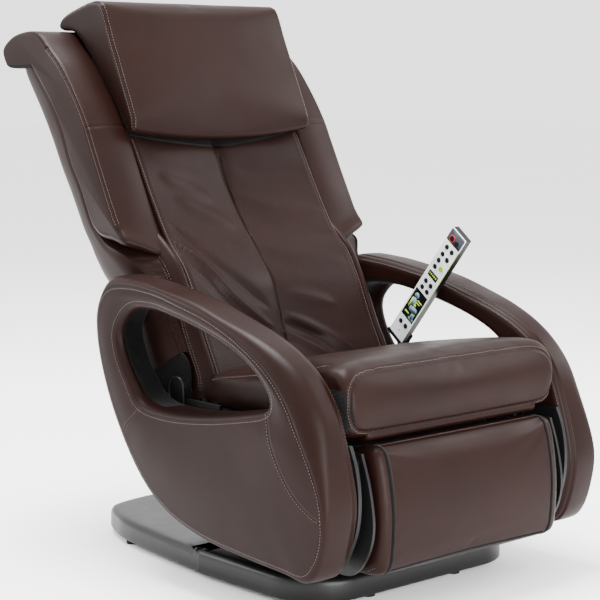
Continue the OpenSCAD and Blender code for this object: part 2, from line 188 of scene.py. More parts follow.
def at_x(points, x):
    """A side-view line set in the row frame at x."""
    p = np.array(points, float)
    return np.column_stack([np.full(len(p), x), p])


def skin(name, rings):
    """A closed form through a stack of rings, with both ends capped."""
    n = len(rings[0])
    faces = quads(len(rings), n, wrap_v=True)
    faces += [list(range(n))[::-1], [len(rings) * n - n + i for i in range(n)]]
    return piece(name, np.vstack(rings), faces)


def slab(name, outline, x0, x1, r0, r1, step, shape=None):
    """A side-view outline swept across x with rounded edges. shape(x, outline) may change each ring."""
    rings = []
    for x, inset in rounded(x0, x1, r0, r1, step):
        ring = outline if shape is None else shape(x, outline)
        rings.append(at_x(ring - outward(ring) * inset, x))
    return skin(name, rings)


def mirrored(obj, name):
    """A copy on the other side of the chair."""
    mesh = obj.data.copy()
    other = bpy.data.objects.new(name, mesh)
    scene.collection.objects.link(other)
    co = coords(other)
    co[:, 0] *= -1
    place(other, co)
    mesh.flip_normals()
    return other


def joined(name, objects):
    b = bmesh.new()
    for o in objects:
        b.from_mesh(o.data)
        bpy.data.objects.remove(o)
    obj = piece(name, [], [], outside=False)
    b.to_mesh(obj.data)
    b.free()
    obj.data.shade_smooth()
    return obj


def inflate(obj, cap, pressure, hold, stiff=1.5):
    """Pads a closed form out as stuffed leather: an even remesh, then cloth under pressure.
    No point moves further than cap. hold(points) is how firmly each point is held, from 0 to 1."""
    modified(obj, "REMESH", mode="VOXEL", voxel_size=VOXEL * MM, use_smooth_shade=True)
    bake(obj)
    relax(obj, 3)
    rest = coords(obj)
    cloth = obj.modifiers.new("Cloth", "CLOTH")
    s = cloth.settings
    s.quality, s.mass, s.use_pressure, s.uniform_pressure_force = 5, 0.4, True, pressure
    s.tension_stiffness = s.compression_stiffness = 18
    s.shear_stiffness, s.bending_stiffness = 8, stiff
    s.air_damping = 3
    s.effector_weights.gravity = 0
    cloth.point_cache.frame_start, cloth.point_cache.frame_end = 1, CLOTH_FRAMES
    group = obj.vertex_groups.new(name="hold")
    for i, w in enumerate(hold(rest)):
        if w > 0.01:
            group.add([i], float(min(w, 1)), "REPLACE")
    s.vertex_group_mass = "hold"
    for f in range(1, CLOTH_FRAMES + 1):
        scene.frame_set(f)
    posed = obj.evaluated_get(bpy.context.evaluated_depsgraph_get())
    move = read(posed.data.vertices, "co") / MM - rest
    size = np.linalg.norm(move, axis=1)[:, None] + 1e-9
    move *= cap * np.tanh(size / cap) / size
    obj.modifiers.clear()
    scene.frame_set(1)
    place(obj, rest + move)
    relax(obj, 2)


# ------------------------------------------------------------------------------- seams

STITCHES = {}
# runs of painted shade: a dark strip in the bottom of each seam
SEAM_SHADE_RUNS = {}


def near(points):
    tree = KDTree(len(points))
    for i, p in enumerate(points):
        tree.insert(p, i)
    tree.balance()
    return tree


def surface(obj):
    return BVHTree.FromObject(obj, bpy.context.evaluated_depsgraph_get())


def refine(obj, path, radius, target):
    """Smaller faces near a path."""
    tree = near(path)
    b = bmesh.new()
    b.from_mesh(obj.data)
    for _ in range(2):
        close = {v for v in b.verts if tree.find(v.co / MM)[2] < radius}
        edges = [e for e in b.edges if close.issuperset(e.verts) and e.calc_length() > target * MM]
        if not edges:
            break
        bmesh.ops.subdivide_edges(b, edges=edges, cuts=1, use_grid_fill=True)
    b.to_mesh(obj.data)
    b.free()
    obj.data.shade_smooth()


def onto(tree, points):
    """Nearest points of a surface and smoothed normals there, in millimetres."""
    found = [tree.find_nearest(Vector(p) * MM) for p in points]
    at = np.array([f[0] for f in found]) / MM
    no = np.array([f[1] for f in found])
    for _ in range(3):
        no[1:-1] = (no[:-2] + no[1:-1] * 2 + no[2:]) / 4
    return at, no / np.linalg.norm(no, axis=1)[:, None]


def walk(at, no, offset):
    """The path moved sideways over the surface."""
    t = np.gradient(at, axis=0)
    b = np.cross(no, t)
    return at + b / (np.linalg.norm(b, axis=1)[:, None] + 1e-12) * offset


def seam(obj, path, rows, depth, width, puff=0.35, pucker=0.0, closed=False, welt=True, fine=2.6):
    """Sews a seam into a piece: a groove with padding swelling on both sides, and rows of stitches beside it.
    rows are sideways offsets in millimetres; pucker gathers the leather across the seam; fine is the
    longest edge left beside it."""
    line = by_length(path, 3.0, closed)
    if closed:
        line = np.vstack([line, line[:1]])
    at, no = onto(surface(obj), line)
    refine(obj, at, 9 + 2 * width, fine)
    kd = near(at)
    co, vn = coords(obj), normals(obj)
    along = np.r_[0, np.cumsum(np.linalg.norm(np.diff(at, axis=0), axis=1))]
    low, high = at.min(0) - 20, at.max(0) + 20
    for k in np.nonzero(((co > low) & (co < high)).all(1))[0]:
        _, i, d = kd.find(co[k])
        if d > 22 or vn[k] @ no[i] < 0.2:
            continue
        move = -depth * math.exp(-((d / width) ** 2))
        move += puff * depth * math.exp(-(((d - 3.4 * width) / (1.8 * width)) ** 2))
        if pucker:
            wave = 0.5 + 0.5 * math.sin(along[i] * 0.52 + 1.7 * math.sin(along[i] * 0.071))
            move -= pucker * wave * math.exp(-((d / 8) ** 2))
        co[k] += vn[k] * move
    place(obj, co)
    tree = surface(obj)
    at, no = onto(tree, at)
    # a dark strip of painted shade goes along the bottom of the groove
    if welt:
        SEAM_SHADE_RUNS.setdefault(obj.name, []).append((at, no))
    for offset in rows:
        STITCHES.setdefault(obj.name, []).append(onto(tree, walk(at, no, offset)))


def stitch_mesh(name, runs):
    """Thread stitches lying along runs of (points, normals), each one dipping into the leather.
    half is half the thread's width."""
    pitch, size, half, lift = 6.2, 4.6, 0.5, 0.6
    verts, faces = [], []
    for at, no in runs:
        along = np.r_[0, np.cumsum(np.linalg.norm(np.diff(at, axis=0), axis=1))]
        count = int(along[-1] / pitch)
        for k in range(count):
            s = (k + 0.5) * pitch
            spots = np.array([s - size / 2, s - size / 5, s + size / 5, s + size / 2])
            p = np.stack([np.interp(spots, along, at[:, c]) for c in range(3)], 1)
            n = np.stack([np.interp(spots, along, no[:, c]) for c in range(3)], 1)
            t = p[-1] - p[0]
            if np.linalg.norm(t) < size * 0.5:
                continue
            t /= np.linalg.norm(t)
            base = len(verts)
            for q, m, up in zip(p, n, (-0.5, lift, lift, -0.5)):
                b = np.cross(m, t)
                b /= np.linalg.norm(b) + 1e-12
                verts += [q + b * half + m * (up - 0.7), q + b * half * 0.7 + m * up,
                          q - b * half * 0.7 + m * up, q - b * half + m * (up - 0.7)]
            for r in range(3):
                for c in range(4):
                    a, d = base + r * 4 + c, base + r * 4 + (c + 1) % 4
                    faces.append((a, d, d + 4, a + 4))
            faces += [(base, base + 1, base + 2, base + 3), (base + 15, base + 14, base + 13, base + 12)]
    return piece(name, verts, faces, outside=False)


def painted_seam_shade_mesh(name, runs):
    """Painted shade in the bottom of each seam: a dark line laid as a low strip."""
    half, sink = 0.9, 0.35
    verts, faces = [], []
    for at, no in runs:
        left, right = walk(at, no, half), walk(at, no, -half)
        rows = np.stack([left - no * sink, at + no * 0.25, right - no * sink], 1)
        base = len(verts)
        verts += rows.reshape(-1, 3).tolist()
        faces += [[base + i for i in f] for f in quads(len(at), 3)]
    return piece(name, verts, faces, outside=False)


# --------------------------------------------------------------------------- materials


def linear(colour):
    return tuple(((c / 255) / 12.92 if c <= 10 else ((c / 255 + 0.055) / 1.055) ** 2.4) for c in colour) + (1,)


class Shader:
    """A node material on the object's own coordinates."""

    def __init__(self, name):
        self.material = bpy.data.materials.new(name)
        self.material.use_nodes = True
        self.tree = self.material.node_tree
        self.bsdf = self.tree.nodes["Principled BSDF"]
        self.where = self.add("ShaderNodeTexCoord").outputs["Object"]
        self.height = None

    def add(self, kind, **values):
        node = self.tree.nodes.new(kind)
        for k, v in values.items():
            if hasattr(node, k):
                setattr(node, k, v)
            else:
                node.inputs[k.replace("_", " ")].default_value = v
        return node

    def link(self, a, b):
        self.tree.links.new(a, b)

    def set(self, **values):
        for k, v in values.items():
            self.bsdf.inputs[k.replace("_", " ")].default_value = v

    def noise(self, scale, detail=3.0, stretch=None, rough=0.55):
        node = self.add("ShaderNodeTexNoise", Scale=scale, Detail=detail, Roughness=rough)
        self.link(self.mapped(stretch) if stretch else self.where, node.inputs["Vector"])
        return node.outputs["Fac"]

    def mapped(self, scale=(1, 1, 1), rotation=(0, 0, 0)):
        node = self.add("ShaderNodeMapping", Scale=scale, Rotation=rotation)
        self.link(self.where, node.inputs["Vector"])
        return node.outputs["Vector"]

    def cells(self, scale, randomness=1.0, vector=None):
        node = self.add("ShaderNodeTexVoronoi", Scale=scale, Randomness=randomness)
        self.link(vector or self.where, node.inputs["Vector"])
        return node.outputs["Distance"]

    def ramp(self, value, low, high, a=0.0, b=1.0):
        """value from low..high mapped to a..b"""
        node = self.add("ShaderNodeMapRange")
        for k, v in zip(("From Min", "From Max", "To Min", "To Max"), (low, high, a, b)):
            node.inputs[k].default_value = v
        self.link(value, node.inputs["Value"])
        return node.outputs["Result"]

    def math(self, operation, a, b):
        node = self.add("ShaderNodeMath", operation=operation)
        for k, v in enumerate((a, b)):
            if isinstance(v, (int, float)):
                node.inputs[k].default_value = v
            else:
                self.link(v, node.inputs[k])
        return node.outputs["Value"]

    def blend(self, factor, a, b):
        """Colour a to colour b, each a colour or a socket."""
        node = self.add("ShaderNodeMix", data_type="RGBA")
        self.link(factor, node.inputs["Factor"])
        for k, v in ((6, a), (7, b)):
            if isinstance(v, tuple):
                node.inputs[k].default_value = v
            else:
                self.link(v, node.inputs[k])
        return node.outputs[2]

    def colour(self, socket):
        self.link(socket, self.bsdf.inputs["Base Color"])

    def roughness(self, socket):
        self.link(socket, self.bsdf.inputs["Roughness"])

    def relief(self, height, strength, distance):
        """Adds a layer of bump, in millimetres."""
        node = self.add("ShaderNodeBump", Strength=strength, Distance=distance * MM)
        self.link(height, node.inputs["Height"])
        if self.height is not None:
            self.link(self.height, node.inputs["Normal"])
        self.height = node.outputs["Normal"]
        self.link(self.height, self.bsdf.inputs["Normal"])


def leather(name, colour, deep, rough=0.42, perforated=False, grain=1.0):
    m = Shader(name)
    broad = m.noise(5.0, 4.0)
    tint = m.blend(m.ramp(broad, 0.3, 0.7), linear(deep), linear(colour))
    pores = m.cells(620.0)
    tint = m.blend(m.ramp(pores, 0.45, 0.95, 0.0, 0.28), tint, linear([c * 0.72 for c in deep]))
    wear = m.ramp(m.noise(38.0, 6.0, rough=0.7), 0.55, 0.8, 0.0, 0.16)
    tint = m.blend(wear, tint, linear([min(255, c * 1.22) for c in colour]))
    if perforated:
        lean = math.radians(32)
        flat = m.mapped(rotation=(lean, 0, 0))
        turn = m.add("ShaderNodeMapping", Rotation=(0, math.radians(45), 0), Scale=(230, 0, 230))
        m.link(flat, turn.inputs["Vector"])
        cell = m.cells(1.0, randomness=0.0, vector=turn.outputs["Vector"])
        hole = m.ramp(cell, 0.17, 0.27, 1.0, 0.0)
        tint = m.blend(hole, tint, linear((8, 5, 4)))
        m.relief(m.math("SUBTRACT", 1.0, hole), 0.7, 0.5)
    m.colour(tint)
    m.roughness(m.ramp(m.noise(9.0, 5.0), 0.3, 0.7, rough - 0.05, rough + 0.07))
    m.relief(m.noise(70.0, 5.0, rough=0.6), 0.10 * grain, 1.2)
    m.relief(pores, 0.16 * grain, 0.35)
    m.relief(m.noise(1500.0, 2.0), 0.08 * grain, 0.2)
    m.set(Specular_IOR_Level=0.07)
    return m.material


def plastic(name, colour, rough=0.42, speckle=0.25):
    m = Shader(name)
    tint = [min(255, c * 1.12 + 1) for c in colour]
    m.colour(m.blend(m.ramp(m.noise(14.0, 5.0), 0.35, 0.7), linear(colour), linear(tint)))
    m.roughness(m.ramp(m.noise(30.0, 6.0), 0.3, 0.75, rough - 0.02, rough + 0.03))
    m.relief(m.noise(900.0, 3.0), speckle, 0.15)
    m.set(Specular_IOR_Level=0.2)
    return m.material


def metal(name, colour, rough, brushed=(1, 1, 1), metallic=1.0):
    m = Shader(name)
    dark = [c * 0.8 for c in colour]
    m.colour(m.blend(m.ramp(m.noise(20.0, 6.0), 0.3, 0.7), linear(dark), linear(colour)))
    m.roughness(m.ramp(m.noise(160.0, 4.0, stretch=brushed), 0.3, 0.7, rough - 0.08, rough + 0.12))
    m.relief(m.noise(500.0, 3.0, stretch=brushed), 0.12, 0.08)
    m.set(Metallic=metallic)
    return m.material


def weave(name, colour):
    """Plain woven cloth with a thread about every 1.2 mm."""
    m = Shader(name)
    lean = m.mapped(rotation=(math.radians(20), math.radians(14), math.radians(9)))
    waves = []
    for direction in ("X", "Y", "Z"):
        node = m.add("ShaderNodeTexWave", wave_type="BANDS", bands_direction=direction, Scale=50 / 1.2)
        m.link(lean, node.inputs["Vector"])
        waves.append(node.outputs["Fac"])
    cloth = m.math("MULTIPLY", m.math("MAXIMUM", waves[0], waves[1]), waves[2])
    light = [min(255, c * 1.3 + 2) for c in colour]
    m.colour(m.blend(m.ramp(cloth, 0.1, 0.9), linear([c * 0.75 for c in colour]), linear(light)))
    m.relief(cloth, 0.5, 0.35)
    m.relief(m.noise(60.0, 4.0), 0.25, 1.0)
    m.set(Roughness=0.9, Specular_IOR_Level=0.1, Sheen_Weight=0.03, Sheen_Roughness=0.5)
    return m.material


def velour(name, colour):
    m = Shader(name)
    light = [min(255, c * 1.6 + 4) for c in colour]
    m.colour(m.blend(m.ramp(m.noise(45.0, 6.0, rough=0.7), 0.3, 0.75), linear(colour), linear(light)))
    m.relief(m.noise(900.0, 3.0), 0.5, 0.5)
    m.set(Roughness=1.0, Specular_IOR_Level=0.04, Sheen_Weight=0.03, Sheen_Roughness=0.5)
    return m.material


def plywood(name):
    m = Shader(name)
    grain = m.noise(14.0, 8.0, stretch=(1, 9, 14), rough=0.65)
    m.colour(m.blend(m.ramp(grain, 0.3, 0.7), linear((150, 108, 66)), linear((196, 158, 110))))
    m.relief(grain, 0.3, 0.4)
    m.set(Roughness=0.6)
    return m.material


def thread(name, colour):
    m = Shader(name)
    twist = m.add("ShaderNodeTexWave", Scale=420.0, Distortion=1.5)
    m.link(m.where, twist.inputs["Vector"])
    dark = [c * 0.66 for c in colour]
    m.colour(m.blend(twist.outputs["Fac"], linear(dark), linear(colour)))
    m.relief(twist.outputs["Fac"], 0.4, 0.2)
    m.set(Roughness=0.62, Sheen_Weight=0.2)
    return m.material


MATS = {
    "leather": leather("leather_espresso", (25, 10.8, 8), (20.5, 8.7, 6.3)),
    "pad": leather("leather_perforated", (26, 11, 8.5), (20, 9, 6.5), rough=0.44, perforated=True),
    "shell": leather("leather_shell", (26, 10.5, 7.5), (21, 8.5, 6), rough=0.45, grain=0.7),
    "thread": thread("thread_beige", (80, 56, 46)),
    # painted shade for the seam grooves
    "welt": plastic("seam_dark", (16, 10, 9), 0.7),
    "lining": velour("lining_black", (8, 7, 7)),
    "gusset": velour("gusset_velour", (8, 7, 7)),
    "skirt": weave("mesh_cloth", (13, 11, 11)),
    "cover": plastic("cover_plastic", (10, 10, 10.5), 0.36, 0.12),
    "black": plastic("black_plastic", (11, 11, 12), 0.4),
    "gloss": plastic("black_gloss", (8, 8, 9), 0.42, 0.08),
    "rubber": plastic("rubber", (11, 11, 11), 0.8, 0.5),
    "plate": plastic("painted_plate", (10, 10, 10.5), 0.44, 0.3),
    "steel": metal("painted_steel", (40, 41, 44), 0.5, metallic=0.5),
    "bright": metal("bright_steel", (150, 152, 156), 0.26, brushed=(1, 1, 12)),
    "zinc": metal("zinc_steel", (104, 106, 110), 0.4),
    "motor": metal("motor_case", (80, 82, 86), 0.42, brushed=(1, 1, 20)),
    "wood": plywood("plywood"),
    "carriage": plastic("carriage_plastic", (34, 34, 37), 0.5),
    "roller": plastic("roller_plastic", (150, 146, 138), 0.5, 0.3),
    "white": plastic("panel_white", (200, 202, 204), 0.38, 0.06),
    "slate": plastic("panel_slate", (40, 44, 50), 0.34, 0.06),
    "screen": plastic("display_dark", (12, 15, 17), 0.16, 0.02),
    "key": plastic("key_dark", (16, 16, 18), 0.36, 0.1),
    "green": plastic("key_green", (112, 150, 16), 0.36, 0.1),
    "lime": plastic("mark_lime", (140, 168, 20), 0.4, 0.05),
    "olive": plastic("mark_olive", (96, 104, 14), 0.5, 0.05),
    "sky": plastic("mark_grey_blue", (86, 108, 120), 0.4, 0.05),
    "red": plastic("mark_red", (176, 40, 36), 0.4, 0.05),
    "orange": plastic("mark_orange", (226, 110, 52), 0.4, 0.05),
    "ink": plastic("mark_grey", (96, 100, 106), 0.5, 0.05),
}

# ----------------------------------------------------------------------- bookkeeping

PIECES = []


def keep(obj, body, material, slot, *replaced, padded=None):
    """Gives a piece its material, body and record slot, and hides the CAD nodes it stands for."""
    if not obj.data.materials:
        obj.data.materials.append(MATS[material])
    PIECES.append((obj, body))
    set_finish(obj, slot)
    if replaced:
        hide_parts(*replaced)


def keep_pair(obj, left_name, body, material, slot, *nodes, padded=None):
    """Keeps a piece of the +X side and its mirror image, each with its own node of nodes."""
    left = mirrored(obj, left_name)
    keep(obj, body, material, slot, *nodes[:1], padded=padded)
    keep(left, body, material, slot, *nodes[1:], padded=padded)
    flip = np.array([-1, 1, 1])
    for kind in (STITCHES, SEAM_SHADE_RUNS):
        kind[left_name] = [(at * flip, no * flip) for at, no in kind.get(obj.name, [])]


def paint_faces(obj, material, test):
    """Gives another material to the faces whose centre and normal pass the test, both as arrays."""
    obj.data.materials.append(MATS[material])
    faces = obj.data.polygons
    index = np.empty(len(faces), np.int32)
    faces.foreach_get("material_index", index)
    index[test(read(faces, "center") / MM, read(faces, "normal"))] = len(obj.data.materials) - 1
    faces.foreach_set("material_index", index)
    obj.data.update()


def inward(line):
    """Unit vectors square to an open side-view line, on its right."""
    t = np.gradient(line, axis=0)
    t /= np.linalg.norm(t, axis=1)[:, None]
    return np.column_stack([t[:, 1], -t[:, 0]])


# ------------------------------------------------------------------------------- arms

ARM_IN, ARM_OUT = 291.0, 380.5
ARM_OUTLINE = [(103, 602), (138, 566), (156, 511), (143, 428), (97, 324), (19, 218),
               (-70, 153), (-186, 119), (-310, 106), (-426, 99), (-484, 94), (-516, 122), (-536, 180),
               (-542, 240), (-527, 310), (-496, 398), (-453, 457), (-399, 496), (-330, 526),
               (-247, 551), (-163, 574), (-63, 591), (20, 601)]
ARM_HOLE = [(1, 359), (-90, 352), (-198, 362), (-305, 381), (-374, 398), (-383, 418),
            (-357, 449), (-315, 478), (-253, 503), (-172, 525), (-89, 541), (-31, 548),
            (28, 543), (66, 515), (79, 482), (64, 438), (37, 398)]
ARM_SEAM = [(98, 581), (50, 588), (7, 588), (-55, 582), (-116, 570), (-195, 553), (-252, 535), (-308, 512),
            (-363, 482), (-405, 450), (-441, 408), (-478, 348), (-507, 300), (-529, 249), (-534, 200),
            (-528, 160), (-510, 126), (-482, 104), (-426, 107), (-310, 114), (-186, 127), (-73, 161),
            (13, 225), (90, 328), (136, 431), (148, 511), (131, 559)]
ARM_CENTRE = np.array([-150.0, 450.0])


def evened(p, times):
    for _ in range(times):
        p = (np.roll(p, 1, 0) + np.roll(p, -1, 0) + 2 * p) / 4
    return p


def arm(name):
    """The looped arm on the +X side: a padded band round the hole, its front corner well rounded."""
    count = 520
    edge = curve(ARM_OUTLINE, count, closed=True)
    hole = curve(ARM_HOLE, 1600, closed=True)
    seam_line = curve(ARM_SEAM, 900, closed=True)

    def turn(p):
        d = p - ARM_CENTRE
        return np.arctan2(d[:, 1], d[:, 0])

    order = np.argsort(turn(hole))
    angles, spots = turn(hole)[order], hole[order]
    angles = np.r_[angles - 2 * math.pi, angles, angles + 2 * math.pi]
    spots = np.vstack([spots] * 3)
    inner = evened(np.stack([np.interp(turn(edge), angles, spots[:, k]) for k in range(2)], 1), 6)
    edge_n, hole_n = outward(edge), outward(inner)
    depth = np.linalg.norm(edge - inner, axis=1)
    big = evened(smoothstep(60, 220, depth), 20)
    inset = np.array([np.linalg.norm(seam_line - p, axis=1).min() for p in edge])
    r_out = evened(np.clip(inset * 1.05, 12, 40), 30)
    r_in, r_hole, r_back = 18.0, 17.0, 12.0
    rows = []

    def ring(p, x):
        rows.append(at_x(p, x))

    def lift(x):
        return 2.4 * np.sin(math.pi * np.clip((x - ARM_IN) / (ARM_OUT - ARM_IN), 0, 1))[:, None]

    for w in np.linspace(0, 1, 8):
        x = (ARM_IN + r_in) + (ARM_OUT - r_out - ARM_IN - r_in) * w
        ring(edge + edge_n * lift(x), x)
    for t in np.linspace(0, math.pi / 2, 13)[1:]:
        x = ARM_OUT - r_out + r_out * math.sin(t)
        ring(edge - edge_n * (r_out * (1 - math.cos(t)))[:, None] + edge_n * lift(x), x)
    a, b = edge - edge_n * r_out[:, None], inner + hole_n * r_hole
    for w in np.linspace(0, 1, 50)[1:-1]:
        crown = math.sin(math.pi * w) * (1.2 + 4.5 * big)
        ring(a + (b - a) * w, ARM_OUT + crown)
    for t in np.linspace(0, math.pi / 2, 9):
        ring(inner + hole_n * r_hole * (1 - math.sin(t)), ARM_OUT - r_hole + r_hole * math.cos(t))
    flare = evened(smoothstep(-10, 50, inner[:, 0]), 10)[:, None] * np.array([[24.0, 4.0]])

    def opened(x):
        return flare * smoothstep(374, 338, x)

    for x in np.linspace(ARM_OUT - r_hole, ARM_IN + r_back, 9)[1:-1]:
        ring(inner - hole_n * 0.8 + opened(x), x)
    for t in np.linspace(math.pi / 2, 0, 7):
        x = ARM_IN + r_back * (1 - math.cos(t))
        ring(inner + hole_n * r_back * (1 - math.sin(t)) + opened(x), x)
    c, d = inner + hole_n * r_back + flare, edge - edge_n * r_in
    for w in np.linspace(0, 1, 22)[1:-1]:
        ring(c + (d - c) * w, ARM_IN)
    for t in np.linspace(math.pi / 2, 0, 8):
        ring(edge - edge_n * r_in * (1 - math.cos(t)), ARM_IN + r_in * (1 - math.sin(t)))
    obj = piece(name, np.stack(rows, 1), quads(count, len(rows), True, True))
    return obj, edge, edge_n, inner, hole_n


def build_arms():
    obj, edge, edge_n, inner, hole_n = arm("arm_right_cover")
    obj.data.materials.append(MATS["leather"])
    front = [(-381, 396), (-390, 372), (-400, 342), (-425, 296), (-459, 256), (-498, 227), (-530, 216)]
    rear = [(2, 349), (26, 328), (51, 305), (62, 280)]
    for line, x, row, closed in (
        (curve(ARM_SEAM, 130, closed=True), ARM_OUT - 2, 3.6, True),
        ((inner + hole_n * 13)[::4], ARM_OUT - 0.6, 3.6, True),
        ((edge - edge_n * 5.3)[::4], ARM_IN + 5.3, 3.6, True),
        (front, ARM_OUT + 4, 3.4, False),
        (rear, ARM_OUT + 3, 3.2, False),
    ):
        seam(obj, at_x(line, x), (row,), depth=1.0, width=1.9, puff=0.18, closed=closed)

    def lined(c, n):
        inside = (c[:, 0] < 346) & (c[:, 1] > -40) & (c[:, 2] > 345) & (c[:, 2] < 558) & (c[:, 1] < 108)
        return inside & (n[:, 0] > -0.93)

    paint_faces(obj, "lining", lined)
    keep_pair(obj, "arm_left_cover", "chassis", "leather", "leather", "arm_right", "arm_left", padded=0.85)


# --------------------------------------------------------------------------- backrest

PANEL = 235.0
WING = 338.0
CENTRE_LINE = [(-52, 372), (-44, 396), (-20, 430), (0, 459), (22, 529), (40, 577), (79, 626), (139, 695),
               (186, 766), (220, 846), (262, 912), (318, 990), (368, 1052), (410, 1086)]
SIDE_LINE = [(-66, 372), (-66, 396), (-56, 420), (-24, 480), (18, 569), (50, 622), (98, 670), (153, 755),
             (196, 830), (228, 884), (268, 942), (320, 1004), (368, 1056), (410, 1086)]
HEAD_ROLL = [(380, 1068), (414, 1096), (451, 1103), (505, 1096), (540, 1080), (555, 1062),
             (546, 1036), (526, 1024), (450, 1024)]
PAD_BACK = [(400, 1000), (319, 909), (262, 819), (130, 608), (64, 502), (30, 440), (-4, 372)]
# folds of the pad's leather: points (x, z) along each, height and half width in mm
FOLDS = [
    ([(-224, 668), (-173, 615), (-137, 560), (-62, 499), (-24, 478)], 8.0, 10),
    ([(-212, 700), (-141, 612), (-81, 560), (-28, 518)], -6.5, 13),
    ([(-222, 628), (-160, 560), (-110, 505), (-60, 452)], -4.0, 12),
    ([(4, 506), (77, 470), (165, 414)], 6.0, 9),
    ([(2, 488), (70, 452), (130, 410)], -4.0, 9),
    ([(-10, 472), (59, 433), (108, 402)], 4.5, 8),
    ([(20, 548), (80, 532), (150, 512)], 3.5, 14),
    ([(-189, 796), (-130, 768), (-66, 739)], 4.0, 19),
    ([(-168, 744), (-100, 716), (-30, 682)], 4.0, 17),
    ([(-200, 720), (-120, 684), (-40, 640)], -3.0, 20),
    ([(6, 748), (90, 722), (228, 702)], 3.6, 18),
    ([(10, 700), (100, 672), (220, 656)], -2.5, 20),
    ([(12, 640), (90, 618), (215, 596)], 2.6, 20),
    ([(-205, 846), (-140, 826), (-60, 806)], 2.4, 22),
    ([(30, 806), (110, 794), (215, 792)], -2.4, 24),
]


def fold_height(x, z):
    """Soft ridges and hollows that taper out at their ends."""
    total = np.zeros(len(x))
    for points, height, half in FOLDS:
        line = curve(points, 28)
        away = np.full(len(x), 1e9)
        for i, (px, pz) in enumerate(line):
            reach = math.sin(math.pi * (i + 0.5) / len(line)) ** 0.6
            away = np.minimum(away, np.hypot(x - px, z - pz) / (half * reach**0.5) + 1.6 * (1 - reach) ** 2)
        total += height * np.exp(-(away**2))
    return total


def pad_dip(x):
    """Height of the leather's top edge under the pillow."""
    return 852 + 31 * (np.abs(x) / PANEL) ** 1.6


def under_roll(slope):
    """Test for the faces under the rolled-over top."""
    return lambda c, n: (n[:, 2] < -slope) & (c[:, 2] > 1018) & (c[:, 2] < 1050) & (c[:, 1] > 440)


def build_pad():
    """The middle of the backrest: leather stretched between the side bolsters, gathered on its middle seam."""
    count = 230
    middle, side = curve(CENTRE_LINE, count), curve(SIDE_LINE, count)
    back = curve(HEAD_ROLL[1:] + PAD_BACK, 190)
    rings = []
    for x, inset in rounded(-PANEL, PANEL, 5, 5, 3.6):
        share = (abs(x) / PANEL) ** 2.4
        front = middle + (side - middle) * share
        ring = np.vstack([front, back[3:]])
        rings.append(at_x(ring - outward(ring) * inset, x))
    obj = skin("back_pad_cover", rings)

    def quilt(co, no):
        x, _, z = co.T
        facing = smoothstep(0.15, 0.6, -no[:, 1])
        u = np.abs(x) / PANEL
        puff = 8.5 * np.sin(math.pi * np.clip(u, 0, 1)) ** 0.7 * smoothstep(372, 470, z)
        pinch = 3.0 + 3.0 * smoothstep(620, 830, z)
        gather = -pinch * bump(x, 0, 4 + 6 * smoothstep(730, 850, z))
        drawn = np.sin(z * 0.11 + 1.3 * np.sin(z * 0.037)) * np.exp(-np.abs(x) / 26) * (1 - bump(x, 0, 4))
        gather += 0.75 * drawn * smoothstep(500, 620, z)
        fade = smoothstep(900, 840, z)
        lining = -9.0 * smoothstep(-2, 9, z - pad_dip(x)) * smoothstep(1010, 940, z)
        return facing * ((puff + gather + fold_height(x, z)) * fade + lining)

    push(obj, quilt)
    relax(obj, 2)
    obj.data.materials.append(MATS["pad"])
    line = [(0, y - 1, z) for y, z in curve(CENTRE_LINE, 60) if 388 < z < 846]
    seam(obj, line, rows=(), depth=2.6, width=1.8, puff=0.3, pucker=0.3, fine=2.0)
    for x0 in (-PANEL + 7, PANEL - 7):
        line = [(x0, y, z) for y, z in curve(SIDE_LINE, 60) if 388 < z < 880]
        seam(obj, line, rows=(-3.2 if x0 > 0 else 3.2,), depth=1.0, width=2.2, pucker=0.3, welt=False)
    paint_faces(obj, "lining",
                lambda c, n: (c[:, 2] > pad_dip(c[:, 0]) + 1) & (c[:, 1] > 205) & (c[:, 2] < 1060))
    paint_faces(obj, "lining", under_roll(0.3))
    keep(obj, "backrest", "pad", "leather_perforated", "back_pad", padded=0.6)


WING_FRONT = [(90, 646), (113, 674), (139, 716), (177, 786), (211, 852), (240, 908), (278, 964), (329, 1025)]
WING_REAR = [(440, 1027), (421, 1006), (365, 946), (329, 892), (300, 828), (265, 774),
             (231, 709), (209, 684), (175, 661), (126, 642), (100, 636)]
BOLSTER_LINE = [(-54, 344), (-62, 366), (-63, 396), (-56, 420), (-24, 480), (18, 569), (50, 622), (82, 653),
                (116, 678), (152, 702)]
BOLSTER_BACK = [(178, 694), (158, 656), (120, 596), (84, 536), (58, 480), (34, 430), (0, 344)]


def hem_raised(p, height):
    """Side-view points with those near the wing's lower front edge raised."""
    low = smoothstep(745, 650, p[:, 1]) * smoothstep(235, 115, p[:, 0])
    return p + (height * low)[:, None] * np.array([[0.6, 1.0]])


